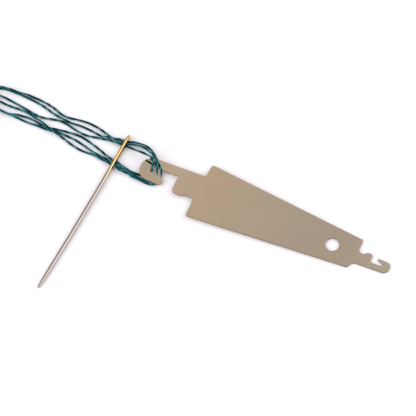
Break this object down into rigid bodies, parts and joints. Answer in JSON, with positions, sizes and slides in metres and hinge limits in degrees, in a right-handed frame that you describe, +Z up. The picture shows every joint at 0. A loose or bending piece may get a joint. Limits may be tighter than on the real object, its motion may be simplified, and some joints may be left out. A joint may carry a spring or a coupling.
{
  "type": "needle threader with tapestry needle",
  "caption": "Flat stamped needle threader with a large and a small hook and a hanging hole, its large hook holding folded threads that run through a blunt tapestry needle's long eye.",
  "frame": {"origin": "middle of the box round the threader and needle, at the tabletop they lie on", "axes": "+X along the threader towards its small hook, +Y across it towards the needle's head, +Z up from the table"},
  "size_m": [0.1152, 0.041, 0.0028],
  "materials": {
    "stamped_steel": "stamped sheet steel, satin, warm brownish grey",
    "plated_steel": "polished steel needle, gold plated at its eye end",
    "cotton_thread": "twisted cotton, dark teal with a slight sheen"
  },
  "bodies": {
    "threader": {"threader_plate": "stamped_steel"},
    "threads": {"thread_1": "cotton_thread", "thread_2": "cotton_thread", "thread_3": "cotton_thread", "thread_coil": "cotton_thread", "coil_tie": "cotton_thread"},
    "needle": {"needle": "plated_steel"}
  },
  "joints": [
    {"name": "loops_slide", "type": "slide", "parent": "threader", "child": "threads", "axis": [1, 0, 0], "range_m": [0, 0.0015]},
    {"name": "needle_slide", "type": "slide", "parent": "threads", "child": "needle", "axis": [1, 0, 0], "range_m": [-0.0008, 0]}
  ]
}
